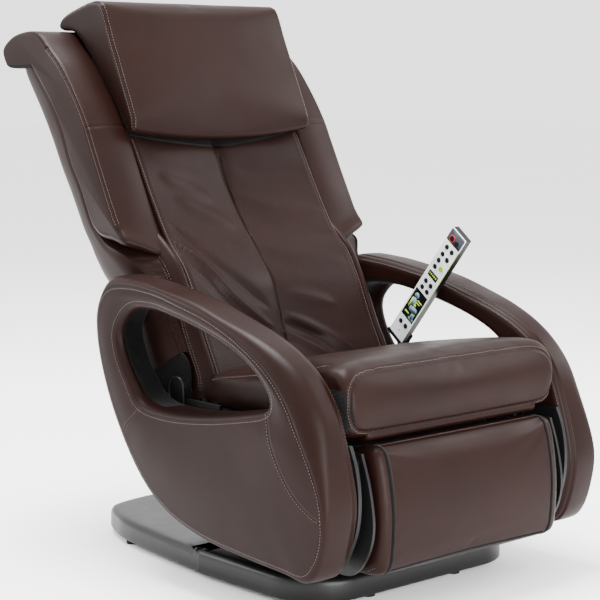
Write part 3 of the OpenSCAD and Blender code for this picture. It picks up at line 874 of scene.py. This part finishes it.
def build_wings():
    outline = by_length(WING_FRONT + HEAD_ROLL + WING_REAR, 5.0, closed=True)

    def slant(x, ring):
        return hem_raised(ring, 22 * smoothstep(250, 322, x) + 8 * smoothstep(310, 340, x))

    obj = slab("back_wing_right_cover", outline, PANEL + 0.5, WING, 5, 10, step=5.0, shape=slant)

    def crown(co, no):
        x, _, z = co.T
        facing = smoothstep(0.2, 0.7, -no[:, 1])
        u = (x - PANEL) / (WING - PANEL)
        swell = 5.5 * np.sin(math.pi * np.clip(u, 0, 1) ** 0.9)
        lower = smoothstep(640, 760, z)
        strip = 2.0 * (no[:, 0] > 0.9) * np.sin(np.clip((z - 650) / 380, 0, 1) * math.pi)
        return facing * swell * (0.5 + 0.5 * lower) + strip

    push(obj, crown)
    relax(obj, 2)
    obj.data.materials.append(MATS["leather"])
    edge = hem_raised(curve(WING_FRONT[1:] + [(380, 1068)], 90), 29)
    seam(obj, at_x(edge + inward(edge) * 3, WING - 3)[3:], rows=(4.0, -4.0), depth=1.3, width=2.0, pucker=0.2)
    across = [(x, 236, 901) for x in np.linspace(PANEL + 4, WING - 4, 12)]
    seam(obj, across, rows=(), depth=1.4, width=2.2, pucker=0.15)
    hem = np.linspace(PANEL + 18, WING - 10, 14)
    hem = np.column_stack([hem, 116 + 0.12 * (hem - 250), 652 + 22 * smoothstep(250, 322, hem)])
    seam(obj, hem, rows=(), depth=1.0, width=2.0)
    rear = curve([(430, 1020)] + WING_REAR[1:-1], 70) + np.array([[-4.0, 3.0]])
    seam(obj, at_x(rear, WING + 2), rows=(0.0,), depth=0.7, width=1.8, welt=False)
    paint_faces(obj, "lining", under_roll(0.35))
    keep_pair(obj, "back_wing_left_cover", "backrest", "leather", "leather",
              "back_wing_right", "back_wing_left", padded=0.8)


def build_bolsters():
    """The lower side rolls, between the seat and the wings."""

    face = curve(BOLSTER_LINE, 90)
    ring = by_length(BOLSTER_LINE + BOLSTER_BACK, 4.0, closed=True)
    front = np.array([np.linalg.norm(face - p, axis=1).min() for p in ring]) < 3

    def recede(x, out):
        u = np.clip((x - PANEL) / 30.0, 0, 1)
        back = 32 * (1 - (1 - u**2.4) ** (1 / 2.4)) - 4 * math.sin(math.pi * min(1, 1.6 * u))
        moved = out - outward(out) * back
        return np.where(front[:, None], moved, out)

    obj = slab("back_bolster_right", ring, PANEL + 0.5, 265, 4, 3, step=2.5, shape=recede)
    relax(obj, 3)
    line = at_x(face + inward(face) * 20, 263)
    seam(obj, line[8:80], rows=(3.4, -3.4), depth=1.2, width=1.9, pucker=0.4)
    keep_pair(obj, "back_bolster_left", "backrest", "leather", "leather", padded=0.7)


SHELL_FRONT = [(440, 1029), (421, 1008), (365, 948), (329, 893), (300, 828), (265, 774), (231, 709),
               (209, 684), (178, 662), (145, 651), (120, 640), (104, 625), (90, 608), (74, 588), (58, 553),
               (43, 511), (22, 480), (2, 450)]
SHELL_REAR = [(556, 1021), (549, 996), (503, 924), (459, 857), (415, 790), (371, 722), (329, 656),
              (299, 608), (269, 566), (242, 545), (214, 525), (190, 500), (179, 460), (159, 419), (138, 376)]


def shell_half(z):
    return 281 + 18 * smoothstep(530, 600, z) + 33 * smoothstep(598, 655, z)


def build_gap_linings():
    """The soft strip that closes the gap between each lower bolster and the shell."""
    outer = curve(SHELL_FRONT, 160)
    outer = outer[outer[:, 1] < 695]
    inner = curve(BOLSTER_LINE, 200)
    inner_y = np.interp(outer[:, 1], inner[:, 1], inner[:, 0]) + 27
    rows = []
    for (y, z), y_in in zip(outer, inner_y):
        t = np.linspace(0, 1, 9)
        x = 261 + (shell_half(z) - 3 - 261) * t
        depth = y_in + (y + 2 - y_in) * t + (5 + 1.2 * math.sin(z * 0.42)) * np.sin(math.pi * t)
        rows.append(np.column_stack([x, depth, np.full(9, z)]))
    obj = piece("back_gap_lining_right", np.stack(rows), quads(len(rows), 9), outside=False)
    modified(obj, "SOLIDIFY", thickness=1.4 * MM, offset=0)
    bake(obj)
    keep_pair(obj, "back_gap_lining_left", "backrest", "leather", "leather")


def build_shell():
    """The rear cover of the backrest, round at its corners, narrowing behind the arms."""
    rows, cols = 190, 100
    front, rear = curve(SHELL_FRONT, rows), curve(SHELL_REAR, rows)
    angles = np.linspace(0, math.pi, cols)
    c, s = np.cos(angles), np.sin(angles)
    grid = np.zeros((rows, cols, 3))
    for i in range(rows):
        z = front[i][1]
        wide = shell_half(z)
        power = 2 / (12 - 7.8 * smoothstep(540, 680, z))
        x, deep = np.sign(c) * np.abs(c) ** power, np.abs(s) ** power
        crown = 5.0 * (1 - x**2) * deep * smoothstep(560, 700, z)
        p = front[i] + (rear[i] - front[i]) * deep[:, None]
        grid[i, :, 0] = x * wide * (1 - 0.085 * smoothstep(560, 640, z) * deep)
        grid[i, :, 1] = p[:, 0] + crown
        grid[i, :, 2] = p[:, 1]
    obj = piece("back_shell_cover", grid, quads(rows, cols), outside=False)
    co, no = coords(obj), normals(obj)
    if (no[:, 1] * (co[:, 1] - 300)).sum() < 0:
        obj.data.flip_normals()
    modified(obj, "SOLIDIFY", thickness=4 * MM, offset=-1)
    bake(obj)
    for x in (-150, 150):
        line = [(x * (1 + 0.0002 * (z - 700)), y + 8, z) for y, z in curve(SHELL_REAR, 80)[6:-8]]
        seam(obj, line, rows=(3.6 * (1 if x > 0 else -1),), depth=1.2, width=2.2, fine=3.0)
    keep(obj, "backrest", "shell", "back_shell", "back_shell")


def build_hinges():
    """The cloth gusset under each lower corner of the backrest, and the cover of its hinge on the frame."""
    lobe = by_length([(120, 380), (106, 397), (71, 420), (36, 440), (4, 451), (-20, 434), (-29, 398),
                      (-18, 360), (26, 347), (86, 356)], 3.0, closed=True)
    obj = slab("hinge_gusset_right", lobe, 272, 278.8, 3, 3, step=1.5)
    keep_pair(obj, "hinge_gusset_left", "backrest", "gusset", "gusset_cloth", "hinge_gussets")
    bar = [(2 + 24 * math.cos(a), 380 + 24 * math.sin(a)) for a in np.linspace(0, math.pi, 40)]
    bar += [(-22 - 0.1 * k, 380 - k * 3.4) for k in range(1, 12)]
    bar += [(-22 + k * 4.8, 342) for k in range(1, 10)] + [(26, 344 + k * 3.4) for k in range(10)]
    obj = slab("hinge_cover_right", evened(np.array(bar), 2), 284.2, 290.4, 0, 2.4, step=1.5)
    keep_pair(obj, "hinge_cover_left", "chassis", "cover", "chassis_plastic", "hinge_covers")


PILLOW_LINE = [(206, 889), (194, 899), (195, 920), (208, 950), (241, 1021), (275, 1094), (296, 1144),
               (312, 1163), (345, 1165), (398, 1153), (448, 1137), (468, 1120), (458, 1106), (412, 1101),
               (376, 1076), (316, 1014), (258, 944), (226, 898)]
PILLOW_HALF = 248.0


def build_pillow():
    outline = by_length(PILLOW_LINE, 5.0, closed=True)

    def sag(x, ring):
        low = smoothstep(960, 885, ring[:, 1]) * (1 - (abs(x) / PILLOW_HALF) ** 2)
        return ring - low[:, None] * np.array([[3, 20]])

    def hold(co):
        edge = smoothstep(PILLOW_HALF - 16, PILLOW_HALF - 5, np.abs(co[:, 0]))
        behind = smoothstep(0, 12, (co[:, 1] - 240) * 0.86 - (co[:, 2] - 950) * 0.62 + 6)
        return np.maximum(0.9 * edge, behind)

    obj = slab("pillow_cover", outline, -PILLOW_HALF, PILLOW_HALF, 7, 7, step=6.0, shape=sag)
    inflate(obj, 8.0, 3.0, hold)
    obj.data.materials.append(MATS["leather"])
    front = curve(PILLOW_LINE[1:12], 90)
    for x in (4 - PILLOW_HALF, PILLOW_HALF - 4):
        seam(obj, at_x(front + inward(front) * 3.5, x), rows=(4.4, -4.4), depth=1.3, width=2.1, pucker=0.25)
    paint_faces(obj, "lining", lambda c, n: (n[:, 1] > 0.25) & (n[:, 2] < 0.1) & (c[:, 2] < 1108))
    keep(obj, "pillow", "leather", "leather", "pillow", padded=0.7)


# -------------------------------------------------------------------------------- seat

SEAT_LINE = [(-66, 350), (-64, 400), (-74, 414), (-120, 424), (-210, 441), (-320, 458), (-430, 472),
             (-462, 474), (-470, 450), (-474, 400), (-470, 350)]
ROLL_LINE = [(-424, 350), (-426, 430), (-440, 468), (-466, 478), (-490, 468), (-505, 440),
             (-512, 405), (-506, 366), (-488, 347)]
LIP_LINE = [(-420, 352), (-430, 374), (-486, 368), (-501, 353), (-498, 340), (-472, 334), (-430, 335)]
SEAT_HALF, ROLL_HALF, LIP_HALF = 261, 291, 236


def build_seat():
    top = slab("seat_top", by_length(SEAT_LINE, 6.0, closed=True), -SEAT_HALF, SEAT_HALF, 14, 14, step=7.0)
    co = coords(top)
    co[:, 0] *= 1 + 0.105 * smoothstep(-330, -420, co[:, 1])
    place(top, co)
    roll = slab("seat_roll", by_length(ROLL_LINE, 5.0, closed=True), -ROLL_HALF, ROLL_HALF, 18, 18, step=7.0)
    co = coords(roll)
    taper = 1 - 0.05 * smoothstep(450, 485, co[:, 2]) - 0.05 * smoothstep(420, 350, co[:, 2])
    co[:, 0] *= taper
    place(roll, co)
    lip = slab("seat_lip", by_length(LIP_LINE, 5.0, closed=True), -LIP_HALF, LIP_HALF, 9, 9, step=7.0)
    seat = joined("seat_cushion_cover", [top, roll])
    inflate(seat, 10.0, 4.0, stiff=14.0,
            hold=lambda c: smoothstep(360, 350, c[:, 2]) + smoothstep(-80, -70, c[:, 1]))
    relax(seat, 22)
    seat.data.materials.append(MATS["leather"])
    # the stitched face of the roll: a rounded outline seen from the front
    corner = [(0, 466), (120, 466), (222, 465), (260, 457), (278, 437), (281, 402), (272, 372), (244, 358),
              (120, 355), (0, 354)]
    corner += [(-x, z) for x, z in corner[-2:0:-1]]
    tree = surface(seat)
    path = []
    for x, z in curve(corner, 160, closed=True):
        hit = tree.ray_cast(Vector((x, -700, z)) * MM, Vector((0, 1, 0)))
        if hit[0] is not None:
            path.append(np.array(hit[0]) / MM)
    path = evened(np.array(path), 4)
    seam(seat, path[::2], rows=(4.2,), depth=1.8, width=2.4, pucker=0.35, closed=True)
    for x in (-1, 1):
        line = [(x * (SEAT_HALF - 3), y, z - 8) for y, z in curve(SEAT_LINE[2:7], 40)]
        seam(seat, line, rows=(3.8 * x,), depth=1.1, width=2.1)
    paint_faces(seat, "skirt", lambda c, n: (np.abs(n[:, 0]) > 0.62) & (c[:, 1] < -345) & (c[:, 2] < 436))
    keep(seat, "chassis", "leather", "leather", "seat_cushion", padded=0.8)
    front = [(x, -500, 356) for x in np.linspace(14 - LIP_HALF, LIP_HALF - 14, 40)]
    seam(lip, front, rows=(), depth=1.0, width=2.0, pucker=0.3)
    keep(lip, "chassis", "leather", "leather", padded=0.5)


# ----------------------------------------------------------------------------- ottoman

OTTOMAN_LINE = [(-533, 324), (-548, 280), (-557, 215), (-557, 160), (-552, 114), (-537, 94),
                (-500, 87), (-460, 90), (-442, 110), (-433, 160), (-431, 208), (-433, 256), (-442, 300),
                (-470, 326), (-505, 331)]
OTTOMAN_HALF = 247
# the calf wells behind the ottoman's cover, and the bands on its front
WELL_X, WELL_RADIUS, WELL_AXIS_Y = 92.0, 48.0, -425
BAND_X = 222.0


def tape(obj, path, half):
    """A flat band of cloth lying on a piece along a path."""
    lift = 0.5
    tree = surface(obj)
    at, no = onto(tree, path)
    at = curve(at[::3], len(at))
    at, no = onto(tree, at)
    left, right = onto(tree, walk(at, no, half))[0], onto(tree, walk(at, no, -half))[0]
    rows = [left - no * 0.4, left + no * lift, at + no * (lift + 0.3), right + no * lift, right - no * 0.4]
    return piece("tape", np.stack(rows, 1), quads(len(at), 5), outside=False)


def build_ottoman():
    def wells(x, ring):
        out = ring.copy()
        gap = WELL_RADIUS**2 - (abs(x) - WELL_X) ** 2
        if gap > 0:
            floor = WELL_AXIS_Y - math.sqrt(gap)
            soft = np.minimum(out[:, 0], floor + 1.5)
            out[:, 0] = np.where(out[:, 0] > -498, soft, out[:, 0])
        return out

    outline = by_length(OTTOMAN_LINE, 4.0, closed=True)
    obj = slab("ottoman_cover", outline, -OTTOMAN_HALF, OTTOMAN_HALF, 16, 16, step=5.0, shape=wells)
    inflate(obj, 5.0, 3.0, stiff=4.0,
            hold=lambda c: smoothstep(-500, -490, c[:, 1]) + 0.8 * smoothstep(225, 238, np.abs(c[:, 0])))
    relax(obj, 3)
    for side in (-1, 1):
        low = [(side * (OTTOMAN_HALF - 4), y, z) for y, z in ((-534, 112), (-500, 98), (-470, 96), (-448, 104))]
        seam(obj, low, rows=(3.0,), depth=0.9, width=1.8)
    top = [(x, -516, 326) for x in np.linspace(-224, 224, 60)]
    seam(obj, top, rows=(3.4,), depth=0.8, width=2.0, welt=False)
    down = [(-505, 330), (-533, 321)] + OTTOMAN_LINE[1:6] + [(-508, 86)]
    bands = [tape(obj, [(side * BAND_X, y, z) for y, z in curve(down, 90)], 4.6) for side in (-1, 1)]
    bands.append(tape(obj, [(x, -544, 98) for x in np.linspace(3 - BAND_X, BAND_X - 3, 120)], 4.2))
    keep(obj, "ottoman", "leather", "leather", "ottoman_pad", padded=0.8)
    keep(joined("ottoman_bands", bands), "ottoman", "gusset", "gusset_cloth")


# ------------------------------------------------------------------------------ remote

REMOTE_AT, REMOTE_LEAN = (-46.0, 453.0), math.radians(38.6)
REMOTE_X, REMOTE_W = 268.0, 47.0
LEFT_KEY, RIGHT_KEY = 14.5, 32.5


def on_remote(outline, out):
    """A row of points (across, along) in mm, out from the remote's face, in the row frame."""
    a, b = np.array(outline, float).T
    s, c = math.sin(REMOTE_LEAN), math.cos(REMOTE_LEAN)
    x = np.full(len(a), REMOTE_X - out)
    return np.column_stack([x, REMOTE_AT[0] - a * c - b * s, REMOTE_AT[1] - a * s + b * c]).tolist()


def disc_line(a, b, r):
    turns = np.linspace(0, 2 * math.pi, 28, endpoint=False)
    return [(a + r * math.cos(t), b + r * math.sin(t)) for t in turns]


def box_line(a0, a1, b0, b1, r):
    out = []
    for k, (a, b) in enumerate(((a1 - r, b1 - r), (a0 + r, b1 - r), (a0 + r, b0 + r), (a1 - r, b0 + r))):
        turns = np.radians(np.linspace(90 * k, 90 * k + 90, 5))
        out += [(a + r * math.cos(t), b + r * math.sin(t)) for t in turns]
    return out


def marks(name, outlines, material, slot, base=-0.2, top=0.12):
    """Low raised shapes on the remote's face."""
    verts, faces = [], []
    for outline in outlines:
        at, n = len(verts), len(outline)
        verts += on_remote(outline, base) + on_remote(outline, top)
        faces.append([at + n + i for i in range(n)])
        faces += [[at + i, at + (i + 1) % n, at + n + (i + 1) % n, at + n + i] for i in range(n)]
    keep(piece(name, verts, faces), "remote", material, slot)


def build_remote():
    w = REMOTE_W
    marks("remote_head_panel", [box_line(0.8, w - 0.8, 273, 303.4, 3)], "slate", "remote_face", top=0.16)
    outer, inner = disc_line(LEFT_KEY, 283, 8.2), disc_line(LEFT_KEY, 283, 6.4)
    verts = on_remote(outer, 0.1) + on_remote(outer, 0.5) + on_remote(inner, 0.5) + on_remote(inner, 0.1)
    keep(piece("remote_power_ring", verts, quads(4, len(outer), wrap_v=True)), "remote", "red", "remote_face")
    marks("remote_light_strip", [box_line(8, w - 8, 176, 190, 1.5)], "screen", "remote_screen", top=0.3)
    lights = [box_line(11 + 5.4 * k, 13.4 + 5.4 * k, 181, 185, 0.6) for k in range(5)]
    marks("remote_lights", lights, "lime", "key_green", 0.2, 0.5)
    edge = [box_line(-0.5, 1.0, 4, 270, 0.6), box_line(w - 1.0, w + 0.5, 4, 270, 0.6)]
    marks("remote_trim", edge, "olive", "key_green", base=-2.4, top=-0.4)
    # a seated figure and its markings on the display
    figure = [disc_line(16, 117, 7), box_line(9, 24, 88, 110, 6), box_line(14, 38, 76, 91, 5),
              box_line(28, 38, 62, 84, 4), box_line(25, 42, 58, 65, 3)]
    marks("remote_figure", figure, "sky", "remote_screen", base=-0.6, top=0.08)
    lit = [box_line(8, 11.5, 82, 108, 1.5), box_line(24, 35, 102, 105, 1), box_line(24, 39, 108, 111, 1),
           disc_line(34, 74, 2.2), box_line(22, 28, 92, 98, 1.5), box_line(8, 22, 66, 70, 1.2)]
    marks("remote_figure_marks", lit, "lime", "key_green", base=-0.6, top=0.14)
    marks("remote_dot", [disc_line(w / 2, 20, 2.4)], "orange", "remote_face", top=0.25)
    left = [disc_line(LEFT_KEY, b, 5.9) for b in (259, 239, 221, 203, 161, 143, 40)]
    right = [disc_line(RIGHT_KEY, b, 5.9) for b in (259, 237, 161, 143, 40)]
    marks("remote_key_rims", left + right, "key", "remote_face", top=0.22)
    icons = [box_line(a - 3.4, a + 3.4, b - 8.6, b - 7.6, 0.4)
             for a in (LEFT_KEY, RIGHT_KEY) for b in (259, 239, 221, 160)]
    marks("remote_icons", icons, "ink", "remote_face", top=0.1)


# ------------------------------------------------------------------------------- base

def base_cover(name, outline, top):
    """A moulded cover: its plan (x, y) stacked up at (z, inset) levels, round at the top edge."""
    edge = ((16, 0.5), (10, 1.4), (6, 3.2), (2.8, 6.4), (0.8, 11), (0, 17), (0, 30))
    levels = [(14, 3), (13, 0.8), (16, 0)] + [(top - down, inset) for down, inset in edge]
    n = outward(outline)
    rings = [np.column_stack([outline - n * inset, np.full(len(n), z)]) for z, inset in levels]
    keep(skin(name + "_skin", rings), "base", "cover", "base_cover", name)


def build_base():
    half, front, r, seam_y = 298.0, -420.0, 120.0, -66.0
    left = [(-half, y) for y in np.linspace(seam_y, front + r, 20)[:-1]]
    left += [(-half + r - r * math.cos(a), front + r - r * math.sin(a))
             for a in np.linspace(0, math.pi / 2, 24)]
    right = [(-x, y) for x, y in left[::-1]]
    across = [(x, seam_y) for x in np.linspace(half, -half, 60)[1:-1]]
    base_cover("base_front_cover", np.array(left + right + across), 60)
    side = curve([(half - 4, seam_y + 1), (half - 20, 79), (half - 40, 216), (half - 62, 290),
                  (half - 100, 363), (half - 150, 385), (half - 215, 395)], 90)
    across = [(x, seam_y + 1) for x in np.linspace(-half + 4, half - 4, 60)[1:-1]]
    base_cover("base_rear_cover", np.vstack([side, side[::-1] * [-1, 1], across]), 56)


build_arms()
build_pad()
build_wings()
build_bolsters()
build_shell()
build_gap_linings()
build_hinges()
build_pillow()
build_seat()
build_ottoman()
build_remote()
build_base()

# carried-over CAD nodes --------------------------------------------------------------

LOOKS = {
    "steel": ("base_plate", "back_frame", "legrest_frame"),
    "zinc": ("swivel_ring_lower", "swivel_ring_upper", "liner_screws"),
    "bright": ("guide_rails", "recline_pins", "legrest_pins", "ottoman_pins", "back_drive_rod",
               "leg_drive_rod"),
    "black": ("chassis_tray", "arm_liners", "rear_cover", "remote_holder"),
    # seat_frame is black partly as painted shade in the dark gap between seat and arm; its real finish is
    # unknown
    "plate": ("seat_frame", "dual_drive", "leg_plate_left", "leg_plate_right"),
    "motor": ("drive_motors", "carriage_motor"),
    "gloss": ("power_inlet", "remote_shell"),
    "rubber": ("glide_feet",),
    # seat_pan's black cloth is partly painted shade in the gap between cushion and arm; its real cover is
    # unknown
    "gusset": ("seat_pan", "hinge_gussets"),
    "cover": ("control_box", "hinge_covers"),
    "carriage": ("massage_carriage",),
    "roller": ("massage_rollers",),
    "wood": ("ottoman_core",),
    "white": ("remote_face",),
    "screen": ("remote_screen",),
    "green": ("key_start",),
}
LOOK_OF = {name: look for look, names in LOOKS.items() for name in names}
for name, node in NODES.items():
    node.data.materials.clear()
    node.data.materials.append(MATS[LOOK_OF.get(name, "key")])
    if not node.hide_render:
        size = 0.25 if name.startswith(("key_", "remote_")) else 0.9
        modified(node, "BEVEL", width=size * MM, segments=2, limit_method="ANGLE", harden_normals=False)

# stitches and painted seam shade -------------------------------------------------------

TRIMS = ((STITCHES, stitch_mesh, "thread", "_stitching"), (SEAM_SHADE_RUNS, painted_seam_shade_mesh, "welt", "_seams"))
for obj, body in list(PIECES):
    for kind, make, material, tail in TRIMS:
        runs = kind.get(obj.name)
        if runs:
            keep(make(obj.name + tail, runs), body, material, obj["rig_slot"])

for obj, body in PIECES:
    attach(obj, body)

# --------------------------------------------------------------------------- studio


def studio():
    floor = bpy.data.meshes.new("floor")
    corners = [(-30, -30, 0), (30, -30, 0), (30, 30, 0), (-30, 30, 0)]
    floor.from_pydata(corners, [], [(0, 1, 2, 3)])
    obj = bpy.data.objects.new("floor", floor)
    scene.collection.objects.link(obj)
    m = Shader("floor_pale")
    m.colour(m.blend(m.noise(0.8, 2.0), linear((250, 250, 250)), linear((253, 253, 253))))
    m.set(Roughness=0.75)
    floor.materials.append(m.material)
    world = bpy.data.worlds.new("studio")
    world.use_nodes = True
    world.node_tree.nodes["Background"].inputs["Color"].default_value = (1, 1, 1, 1)
    world.node_tree.nodes["Background"].inputs["Strength"].default_value = 2.4
    scene.world = world
    for name, at, aim, size, power in (
        ("key", (-0.6, -3.4, 0.8), (0, 0, 0.35), 2.2, 270),
        ("side", (3.4, -1.6, 2.6), (0, 0, 0.6), 2.0, 110),
        ("top", (-0.2, 0.6, 4.2), (0, -0.1, 0.5), 2.0, 540),
        ("rear", (-2.8, 2.6, 2.2), (0, 0.2, 0.7), 1.6, 120),
    ):
        data = bpy.data.lights.new(name, "AREA")
        data.shape, data.size, data.energy = "DISK", size, power
        lamp = bpy.data.objects.new(name, data)
        lamp.location = at
        lamp.rotation_mode = "QUATERNION"
        lamp.rotation_quaternion = (Vector(aim) - Vector(at)).to_track_quat("-Z", "Y")
        scene.collection.objects.link(lamp)


def camera():
    data = bpy.data.cameras.new("camera")
    data.sensor_width, data.lens = 36.0, 105.54
    cam = bpy.data.objects.new("camera", data)
    azimuth, elevation = math.radians(-41.7), math.radians(7.15)
    flat = math.cos(elevation)
    back = Vector((math.sin(azimuth) * flat, -math.cos(azimuth) * flat, math.sin(elevation)))
    cam.location = (-2.441, -2.790, 1.000)
    cam.rotation_mode = "QUATERNION"
    cam.rotation_quaternion = (-back).to_track_quat("-Z", "Y")
    data.clip_start, data.clip_end = 0.05, 100
    scene.collection.objects.link(cam)
    scene.camera = cam


studio()
camera()
